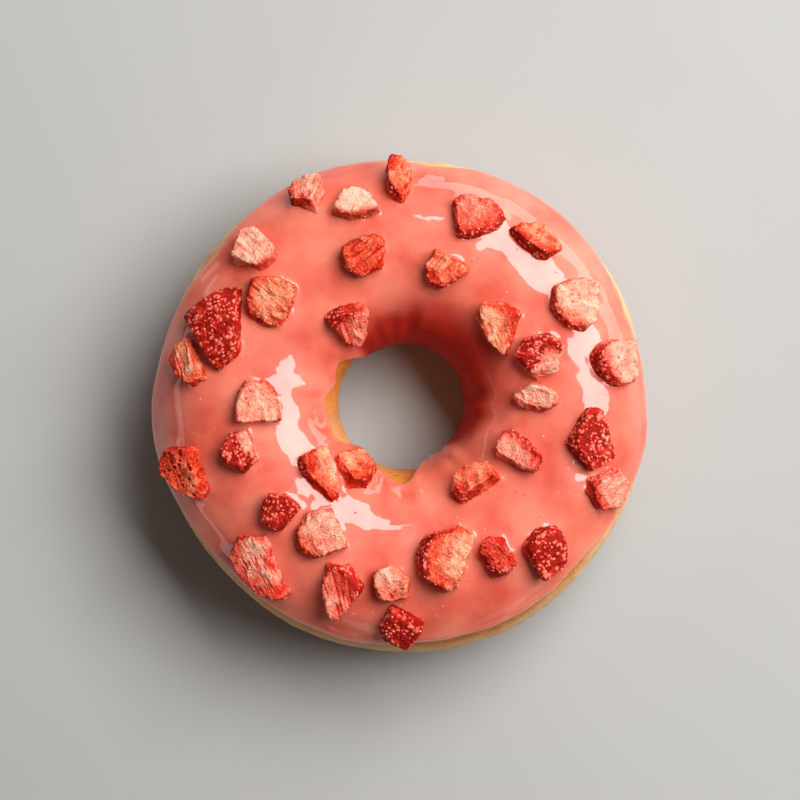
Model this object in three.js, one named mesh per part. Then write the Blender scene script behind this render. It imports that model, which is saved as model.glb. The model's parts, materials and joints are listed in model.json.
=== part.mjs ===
// A ring doughnut with strawberry icing and pieces of freeze-dried strawberry, in millimetres, +Z up.
// The origin is on the surface that the doughnut stands on, in the middle of its outline.
// Seen from above, +X is to the right and +Y is up, and a turn is an angle from +X towards +Y in degrees.
import * as THREE from "three";

// Clearance between pieces that touch.
const GAP = 0.3;

const RING_CENTRE = [0.3, -0.2];

// The ring of dough. The tube's middle is where the ring is widest.
const DOUGH = {
  outerRadius: 47.4,
  holeRadius: 12.9,
  holeShift: 0.9,
  holeShiftTurn: 45,
  middleHeight: 14.5,
  rise: 15.5,
  sink: 15.4,
  fullness: 2.25,
  outlineWaves: [
    { count: 2, depth: 0.12, turn: 100 },
    { count: 3, depth: 0.26, turn: 290 },
    { count: 7, depth: 0.13, turn: 290 },
  ],
  heightWaves: [
    { count: 2, depth: 0.3, turn: 60 },
    { count: 3, depth: 0.22, turn: 200 },
  ],
  turnSteps: 60,
  tubeSteps: 28,
};

// The icing. An edge is an angle round the tube, measured up from the tube's widest point,
// and each lobe lifts it where the icing stops short, or lowers it where the icing has run down.
const ICING = {
  crown: 1.25,
  flank: 1.0,
  lip: 0.3,
  outerEdge: 23,
  outerLobes: [
    { turn: 284, width: 34, lift: 10 },
    { turn: 322, width: 20, lift: 7 },
    { turn: 228, width: 24, lift: 7 },
    { turn: 143, width: 9, lift: 5 },
    { turn: 82, width: 7, lift: 7 },
    { turn: 22, width: 12, lift: 4 },
    { turn: 186, width: 16, lift: -9 },
    { turn: 112, width: 11, lift: -9 },
    { turn: 55, width: 10, lift: -5 },
    { turn: 352, width: 9, lift: -6 },
    { turn: 258, width: 7, lift: -2 },
  ],
  innerEdge: -9,
  innerLobes: [
    { turn: 147, width: 23, lift: 38 },
    { turn: 177, width: 15, lift: 26 },
    { turn: 204, width: 22, lift: 40 },
    { turn: 248, width: 18, lift: 28 },
    { turn: 274, width: 18, lift: 38 },
  ],
  outerSteps: 15,
  innerSteps: 14,
};

// How a berry's skin bends, and how much of a piece's outline the skin takes off.
const SKIN_BEND = 11;
const SKIN_SHARE = 0.9;
const CHAMFERS = 3;
const CHAMFER_SHARE = 0.86;
const MIDDLE_SHARE = 0.42;
const PIECE_DETAIL = 2;
// How far the sides lean in towards the top, and how far at most a top leans, in degrees.
const SIDE_DRAFT = 4;
const TOP_LEAN = 14;

// The pieces of strawberry. A piece's middle is given in plan from the ring's middle. Its sides are where the
// knife went, each as the turn that it faces and its distance from the middle. The berry's skin faces a turn
// and a lift above the icing.
const PIECES = [
  { at: [-18.0, 40.9], high: 2.8, skin: [205, 15], flesh: "pink",
    sides: [[105, 2.9], [23, 3.5], [-24, 3.0], [-118, 3.1], [-175, 3.6]] },
  { at: [-0.6, 43.5], high: 3.6, skin: [185, 5], flesh: "orange",
    sides: [[90, 4.2], [40, 3.1], [-2, 2.3], [-38, 3.4], [-113, 4.2], [-172, 2.4]] },
  { at: [-9.0, 38.3], high: 2.5, skin: [268, 5], flesh: "pale",
    sides: [[155, 3.5], [94, 3.2], [30, 3.5], [-73, 3.0], [-100, 2.9]] },
  { at: [14.1, 36.1], high: 2.8, skin: [290, 5], flesh: "pink",
    sides: [[135, 5.0], [80, 3.6], [45, 4.3], [-26, 5.1], [-65, 3.8], [-168, 4.1]] },
  { at: [25.5, 31.8], high: 2.5, skin: [235, 8], flesh: "orange",
    sides: [[115, 4.2], [92, 3.1], [43, 3.3], [-50, 4.4], [-129, 2.7], [-169, 4.8]] },
  { at: [-28.1, 29.7], high: 2.8, skin: [290, -15], flesh: "pale",
    sides: [[103, 4.4], [43, 3.1], [-29, 4.3], [-66, 4.0], [-112, 3.3], [162, 3.7]] },
  { at: [-7.2, 28.7], high: 3.2, skin: [250, 20], flesh: "orange",
    sides: [[115, 3.1], [59, 4.4], [-4, 3.7], [-70, 3.8], [-128, 4.1], [180, 4.2]] },
  { at: [8.0, 25.9], high: 3.2, skin: [250, 25], flesh: "orange",
    sides: [[145, 3.5], [65, 2.7], [-11, 4.5], [-57, 2.9], [-116, 3.9], [-172, 3.4]] },
  { at: [-25.0, 20.1], high: 3.0, skin: [190, 5], flesh: "orange",
    sides: [[100, 4.5], [65, 4.5], [-22, 4.2], [-78, 5.1], [-125, 4.7], [170, 4.4]] },
  { at: [-35.0, 15.7], high: 3.8, skin: [100, 80], flesh: "dark",
    sides: [[125, 5.5], [100, 6.3], [-2, 4.0], [-51, 6.7], [-147, 4.8]] },
  { at: [33.1, 19.5], high: 2.6, skin: [235, 5], flesh: "pale",
    sides: [[110, 4.6], [55, 5.0], [8, 4.5], [-45, 5.0], [-100, 4.9], [-141, 4.5], [175, 4.8]] },
  { at: [18.5, 15.3], high: 3.4, skin: [20, 20], flesh: "orange",
    sides: [[148, 5.0], [88, 4.1], [60, 4.0], [-16, 3.2], [-108, 5.0], [-143, 3.1]] },
  { at: [-9.8, 15.7], high: 3.4, skin: [160, 30], flesh: "pink",
    sides: [[128, 3.8], [100, 3.3], [60, 4.2], [-6, 3.1], [-85, 5.1], [-143, 3.0]] },
  { at: [26.0, 9.6], high: 3.8, skin: [135, 45], flesh: "dark",
    sides: [[150, 4.1], [102, 3.7], [50, 4.4], [-15, 4.1], [-65, 4.0], [-137, 3.6]] },
  { at: [40.9, 8.3], high: 2.5, skin: [205, 8], flesh: "pink",
    sides: [[137, 4.7], [95, 4.2], [2, 4.8], [-73, 4.4], [-124, 4.2], [-170, 5.2]] },
  { at: [-41.0, 8.3], high: 2.7, skin: [215, 12], flesh: "pale",
    sides: [[118, 3.8], [25, 2.5], [-60, 4.5], [-131, 2.9], [-178, 3.9]] },
  { at: [-27.4, 0.7], high: 2.7, skin: [25, -5], flesh: "pale",
    sides: [[138, 4.5], [92, 4.2], [15, 3.9], [-88, 3.7], [178, 4.0]] },
  { at: [25.2, 1.7], high: 2.8, skin: [260, -5], flesh: "pale",
    sides: [[155, 4.0], [112, 2.4], [65, 2.6], [5, 4.3], [-60, 3.3], [-100, 2.3], [-140, 3.8]] },
  { at: [36.0, -6.6], high: 3.6, skin: [200, 62], flesh: "dark",
    sides: [[148, 3.9], [90, 6.1], [15, 3.4], [-60, 4.8], [-140, 3.9]] },
  { at: [-30.7, -8.3], high: 3.4, skin: [205, 38], flesh: "dark",
    sides: [[150, 3.2], [100, 3.5], [70, 4.0], [18, 2.8], [-50, 3.7], [-119, 3.6], [-162, 3.5]] },
  { at: [22.3, -8.4], high: 3.0, skin: [45, 5], flesh: "pink",
    sides: [[155, 4.4], [95, 4.1], [46, 2.7], [-20, 4.4], [-70, 4.7], [-118, 2.8]] },
  { at: [-15.4, -12.7], high: 2.8, skin: [215, 8], flesh: "orange",
    sides: [[120, 4.5], [20, 2.3], [-47, 6.2], [-132, 2.4], [175, 4.4]] },
  { at: [-8.6, -11.8], high: 2.9, skin: [310, 38], flesh: "orange",
    sides: [[120, 3.5], [44, 3.0], [-20, 3.5], [-82, 3.6], [-145, 3.1]] },
  { at: [-41.4, -12.2], high: 3.2, skin: [120, 60], flesh: "orange",
    sides: [[142, 5.5], [100, 4.4], [20, 3.4], [-40, 6.2], [-100, 4.5], [-130, 3.6], [-165, 5.4]] },
  { at: [13.3, -14.2], high: 3.2, skin: [245, 12], flesh: "orange",
    sides: [[164, 3.6], [100, 3.1], [30, 4.7], [-60, 2.5], [-150, 4.6]] },
  { at: [39.3, -15.9], high: 2.4, skin: [215, 5], flesh: "pink",
    sides: [[167, 4.3], [107, 3.4], [36, 3.7], [-13, 4.2], [-94, 3.7], [-137, 3.9]] },
  { at: [-23.6, -19.8], high: 3.5, skin: [200, 80], flesh: "dark",
    sides: [[147, 3.2], [90, 3.1], [50, 3.3], [-40, 3.0], [-115, 3.4], [-178, 3.0]] },
  { at: [-15.5, -24.1], high: 3.2, skin: [235, 12], flesh: "pale",
    sides: [[144, 4.1], [95, 4.5], [24, 4.0], [-72, 4.1], [-130, 5.2], [-175, 4.3]] },
  { at: [-27.3, -30.5], high: 3.1, skin: [225, 12], flesh: "pink",
    sides: [[160, 5.9], [100, 5.9], [21, 3.4], [-40, 8.0], [-105, 5.3], [-132, 3.9]] },
  { at: [8.3, -28.5], high: 4.4, skin: [165, 35], flesh: "orange",
    sides: [[148, 5.4], [108, 4.9], [55, 6.4], [-18, 4.0], [-62, 6.1], [-125, 5.5], [-178, 5.5]] },
  { at: [17.8, -28.4], high: 3.4, skin: [240, 60], flesh: "dark",
    sides: [[125, 3.7], [80, 3.4], [25, 2.8], [-40, 3.9], [-80, 4.0], [-145, 2.5], [170, 3.3]] },
  { at: [27.6, -27.5], high: 3.6, skin: [90, 80], flesh: "dark",
    sides: [[139, 4.0], [95, 4.1], [45, 4.5], [3, 3.8], [-55, 4.2], [-150, 3.6]] },
  { at: [-11.6, -34.8], high: 3.2, skin: [30, 32], flesh: "pink",
    sides: [[168, 3.7], [85, 4.7], [34, 4.0], [-38, 3.2], [-115, 5.6], [-167, 3.5]] },
  { at: [-2.2, -33.9], high: 2.9, skin: [270, 0], flesh: "pale",
    sides: [[175, 3.4], [110, 3.6], [55, 3.2], [-10, 3.8], [-88, 2.9], [-155, 3.3]] },
  { at: [-0.6, -42.0], high: 3.5, skin: [190, 45], flesh: "dark",
    sides: [[150, 3.2], [60, 2.8], [-35, 3.6], [-110, 3.4], [-165, 4.0]] },
];

const DOUGH_MATERIAL = new THREE.MeshStandardMaterial({ color: 0xcf8f4c, roughness: 0.7, metalness: 0 });
const ICING_MATERIAL = new THREE.MeshStandardMaterial({ color: 0xec7059, roughness: 0.15, metalness: 0 });
const FLESH_COLOURS = { pale: 0xf4b394, pink: 0xe8796a, orange: 0xdf5238, dark: 0xa01912 };

const radians = THREE.MathUtils.degToRad;
const { lerp, smoothstep } = THREE.MathUtils;

// A bell curve of height 1 round a turn, carried on past a full turn. Angles in degrees.
function bell(turn, centre, width) {
  const away = ((((turn - centre) % 360) + 540) % 360) - 180;
  return Math.exp(-((away / width) ** 2));
}

function waves(list, turn) {
  return list.reduce((sum, w) => sum + w.depth * Math.cos(radians(w.count * (turn - w.turn))), 0);
}

// The tube's section at a turn of the ring: its middle's distance from the axis, its half width and its rise.
function tubeAt(turn) {
  const outer = DOUGH.outerRadius + waves(DOUGH.outlineWaves, turn);
  const hole = DOUGH.holeRadius + DOUGH.holeShift * Math.cos(radians(turn - DOUGH.holeShiftTurn));
  return {
    middle: (outer + hole) / 2,
    halfWidth: (outer - hole) / 2,
    rise: DOUGH.rise + waves(DOUGH.heightWaves, turn),
  };
}

// The dough's surface, from the tube's middle: 0 degrees round the tube points away from the axis, 90 up.
function doughReach(turn, roundTube) {
  const tube = tubeAt(turn);
  const [across, up] = [Math.cos(radians(roundTube)), Math.sin(radians(roundTube))];
  const half = up > 0 ? tube.rise : DOUGH.sink;
  const n = DOUGH.fullness;
  const reach = (Math.abs(across / tube.halfWidth) ** n + Math.abs(up / half) ** n) ** (-1 / n);
  return up < 0 ? Math.min(reach, DOUGH.middleHeight / -up) : reach;
}

// Where the icing stops round the tube, outside the ring and in the hole.
function icingSpan(turn) {
  const lift = (lobes) => lobes.reduce((sum, l) => sum + l.lift * bell(turn, l.turn, l.width), 0);
  return {
    outside: ICING.outerEdge + lift(ICING.outerLobes),
    inHole: 180 - ICING.innerEdge - lift(ICING.innerLobes),
  };
}

// The icing is thickest on the crown of the ring.
function icingThickness(roundTube) {
  return lerp(ICING.flank, ICING.crown, smoothstep(Math.sin(radians(roundTube)), 0.3, 0.9));
}

// What a piece of strawberry rests on: the icing, or the same surface carried on past its edge.
function seatReach(turn, roundTube) {
  return doughReach(turn, roundTube) + GAP + icingThickness(roundTube);
}

function ringPoint(turn, roundTube, reach) {
  const out = tubeAt(turn).middle + reach * Math.cos(radians(roundTube));
  return new THREE.Vector3(
    RING_CENTRE[0] + out * Math.cos(radians(turn)),
    RING_CENTRE[1] + out * Math.sin(radians(turn)),
    DOUGH.middleHeight + reach * Math.sin(radians(roundTube)),
  );
}

// The turn, the angle round the tube and the reach from the tube's middle of a point.
function ringPlace(point) {
  const [x, y] = [point.x - RING_CENTRE[0], point.y - RING_CENTRE[1]];
  const turn = THREE.MathUtils.radToDeg(Math.atan2(y, x));
  const across = Math.hypot(x, y) - tubeAt(turn).middle;
  const up = point.z - DOUGH.middleHeight;
  return { turn, roundTube: THREE.MathUtils.radToDeg(Math.atan2(up, across)), reach: Math.hypot(across, up) };
}

// A closed ring whose section is sectionPoint(turn, step) for each step round it.
function ringGeometry(sectionSteps, sectionPoint) {
  const geometry = new THREE.TorusGeometry(2, 1, sectionSteps, DOUGH.turnSteps);
  const position = geometry.getAttribute("position");
  const rowLength = DOUGH.turnSteps + 1;
  for (let i = 0; i < position.count; i++) {
    const step = Math.floor(i / rowLength) % sectionSteps;
    const turn = (360 * ((i % rowLength) % DOUGH.turnSteps)) / DOUGH.turnSteps;
    position.setXYZ(i, ...sectionPoint(turn, step));
  }
  geometry.computeVertexNormals();
  return geometry;
}

function makeDough() {
  const geometry = ringGeometry(DOUGH.tubeSteps, (turn, step) => {
    const roundTube = (360 * step) / DOUGH.tubeSteps;
    return ringPoint(turn, roundTube, doughReach(turn, roundTube));
  });
  return named(new THREE.Mesh(geometry, DOUGH_MATERIAL), "dough");
}

// The icing's section runs over its outside from the ring's edge to the hole, and back along its underside.
function makeIcing() {
  const { outerSteps, innerSteps } = ICING;
  const geometry = ringGeometry(outerSteps + innerSteps, (turn, step) => {
    const { outside, inHole } = icingSpan(turn);
    const over = step < outerSteps;
    const share = over ? step / (outerSteps - 1) : 1 - (step - outerSteps) / (innerSteps - 1);
    const roundTube = lerp(outside, inHole, share);
    const atLip = share === 0 || share === 1;
    const thickness = over ? icingThickness(roundTube) * (atLip ? ICING.lip : 1) : 0;
    return ringPoint(turn, roundTube, doughReach(turn, roundTube) + GAP + thickness);
  });
  return named(new THREE.Mesh(geometry, ICING_MATERIAL), "icing");
}

// Where a piece sits: the place whose height above the icing puts the piece's middle over its spot in plan.
function seatOf(piece, middleHeight) {
  const [x, y] = piece.at;
  const turn = THREE.MathUtils.radToDeg(Math.atan2(y, x));
  let [low, high] = [0, 180];
  for (let i = 0; i < 30; i++) {
    const half = (low + high) / 2;
    const across = (seatReach(turn, half) + middleHeight) * Math.cos(radians(half));
    if (tubeAt(turn).middle + across > Math.hypot(x, y)) low = half;
    else high = half;
  }
  return { turn, roundTube: low };
}

// The icing's outward direction at a place.
function seatNormal({ turn, roundTube }) {
  const step = 2;
  const at = (t, r) => ringPoint(t, r, seatReach(t, r));
  const alongRing = at(turn + step, roundTube).sub(at(turn - step, roundTube));
  const roundIt = at(turn, roundTube + step).sub(at(turn, roundTube - step));
  return alongRing.cross(roundIt).normalize();
}

// Axes of a piece: east and north are the plan's +X and +Y laid on the icing, up is away from it.
function seatAxes(up) {
  const east = new THREE.Vector3(1, 0, 0).addScaledVector(up, -up.x).normalize();
  return { east, north: new THREE.Vector3().crossVectors(up, east), up };
}

// A direction given by a turn in plan and a lift, in degrees, in a piece's own axes.
function facing(turn, lift) {
  return new THREE.Vector3(
    Math.cos(radians(turn)) * Math.cos(radians(lift)),
    Math.sin(radians(turn)) * Math.cos(radians(lift)),
    Math.sin(radians(lift)),
  );
}

// A small random number generator, so that a piece's chamfers are the same each time.
function randomFrom(seed) {
  let state = seed * 2654435761;
  return () => {
    state = (state + 0x6d2b79f5) | 0;
    let t = Math.imul(state ^ (state >>> 15), 1 | state);
    t = (t + Math.imul(t ^ (t >>> 7), 61 | t)) ^ t;
    return ((t ^ (t >>> 14)) >>> 0) / 4294967296;
  };
}

// The knife's cuts that bound a piece, each a direction and a distance from the piece's middle.
function cutsOf(piece, random) {
  const cuts = [
    ...piece.sides.map(([turn, distance]) => [facing(turn, SIDE_DRAFT), distance]),
    [facing(360 * random(), 90 - TOP_LEAN * random()), piece.high * (1 - MIDDLE_SHARE)],
    [facing(0, -90), piece.high],
  ];
  for (let i = 0; i < CHAMFERS; i++) {
    const way = facing(360 * random(), 15 + 40 * random());
    cuts.push([way, CHAMFER_SHARE * supportOf(cuts, way)]);
  }
  return cuts;
}

// How far cuts let a piece reach in a direction.
function reachOf(cuts, way) {
  return cuts.reduce((reach, [normal, distance]) => {
    const along = normal.dot(way);
    return along > 1e-6 ? Math.min(reach, distance / along) : reach;
  }, Infinity);
}

// The furthest that a piece goes in a direction, from rays round that direction.
function supportOf(cuts, way) {
  const rays = new THREE.IcosahedronGeometry(1, 3).getAttribute("position");
  const ray = new THREE.Vector3();
  let furthest = 0;
  for (let i = 0; i < rays.count; i++) {
    ray.fromBufferAttribute(rays, i);
    const along = ray.dot(way);
    if (along > 0) furthest = Math.max(furthest, along * reachOf(cuts, ray));
  }
  return furthest;
}

// The distance along a ray to the berry's skin, a ball that bends round the piece from its skin side.
function skinReach(skin, ray) {
  const toBall = skin.distance - skin.bend;
  const along = toBall * skin.way.dot(ray);
  return along + Math.sqrt(along ** 2 - toBall ** 2 + skin.bend ** 2);
}

// A piece is its cuts and its skin, seen from its middle, with whatever would go into the icing raised to it.
function makePiece(piece, index) {
  const random = randomFrom(index + 1);
  const cuts = cutsOf(piece, random);
  const way = facing(...piece.skin);
  const skin = { way, bend: SKIN_BEND, distance: SKIN_SHARE * supportOf(cuts, way) };
  const middleHeight = piece.high * MIDDLE_SHARE;
  const seat = seatOf(piece, middleHeight);
  const middle = ringPoint(seat.turn, seat.roundTube, seatReach(seat.turn, seat.roundTube) + middleHeight);
  const { east, north, up } = seatAxes(seatNormal(seat));
  const geometry = new THREE.IcosahedronGeometry(1, PIECE_DETAIL);
  const position = geometry.getAttribute("position");
  const ray = new THREE.Vector3();
  for (let i = 0; i < position.count; i++) {
    ray.fromBufferAttribute(position, i).normalize();
    ray.multiplyScalar(Math.min(reachOf(cuts, ray), skinReach(skin, ray)));
    const point = middle.clone();
    point.addScaledVector(east, ray.x).addScaledVector(north, ray.y).addScaledVector(up, ray.z);
    raiseToSeat(point, up);
    position.setXYZ(i, ...point);
  }
  geometry.computeVertexNormals();
  const material = new THREE.MeshStandardMaterial({ color: FLESH_COLOURS[piece.flesh], roughness: 0.8 });
  return named(new THREE.Mesh(geometry, material), `strawberry_${String(index + 1).padStart(2, "0")}`);
}

function raiseToSeat(point, up) {
  for (let i = 0; i < 6; i++) {
    const { turn, roundTube, reach } = ringPlace(point);
    const sunk = seatReach(turn, roundTube) + GAP - reach;
    if (sunk > 0) point.addScaledVector(up, sunk);
  }
}

function named(mesh, name) {
  mesh.name = name;
  return mesh;
}

const doughnut = new THREE.Group();
doughnut.add(makeDough(), makeIcing(), ...PIECES.map(makePiece));

export default doughnut;
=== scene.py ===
# Dresses the strawberry doughnut: its fried crust, its glossy icing, the freeze-dried strawberry with its
# seeds, and the crumbs. Lengths are in millimetres until a mesh is made, and a turn is an angle from +X
# towards +Y, in degrees. A pair of ends says where something begins and where it is full. A noise or a
# pattern of cells is the size of its bumps and its shift, and a layer of noise has its height before them.
import functools
import json

import bmesh
import bpy
import numpy as np
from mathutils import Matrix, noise
from mathutils.bvhtree import BVHTree


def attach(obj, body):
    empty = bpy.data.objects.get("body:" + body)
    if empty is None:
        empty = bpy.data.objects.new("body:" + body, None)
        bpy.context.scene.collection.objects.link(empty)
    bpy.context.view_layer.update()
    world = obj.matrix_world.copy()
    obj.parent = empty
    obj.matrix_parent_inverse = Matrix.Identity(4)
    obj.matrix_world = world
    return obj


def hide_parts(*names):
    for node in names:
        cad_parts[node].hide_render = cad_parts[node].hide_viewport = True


MM = 0.001
NOISE_DRAW = 11

# The ring of dough, as in the solid. A wave is its count round the ring, its depth and the turn of a crest.
RING_CENTRE = (0.3, -0.2)
OUTER_RADIUS = 47.4
HOLE_RADIUS = 12.9
HOLE_SHIFT = 0.9
HOLE_SHIFT_TURN = 45.0
MIDDLE_HEIGHT = 14.5
RISE = 15.5
SINK = 15.4
FULLNESS = 2.25
OUTLINE_WAVES = ((2, 0.12, 100.0), (3, 0.26, 290.0), (7, 0.13, 290.0))
HEIGHT_WAVES = ((2, 0.3, 60.0), (3, 0.22, 200.0))
GAP = 0.3

# The icing, as in the solid. A lobe is its turn, its width and how far it lifts the icing's edge, in
# degrees round the tube.
CROWN = 1.25
FLANK = 1.0
CROWN_ENDS = (0.3, 0.9)
OUTER_EDGE = 23.0
OUTER_LOBES = (
    (284, 34, 10), (322, 20, 7), (228, 24, 7), (143, 9, 5), (82, 7, 7), (22, 12, 4),
    (186, 16, -9), (112, 11, -9), (55, 10, -5), (352, 9, -6), (258, 7, -2),
)
INNER_EDGE = -9.0
INNER_LOBES = ((147, 23, 38), (177, 15, 26), (204, 22, 40), (248, 18, 28), (274, 18, 38))

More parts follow.
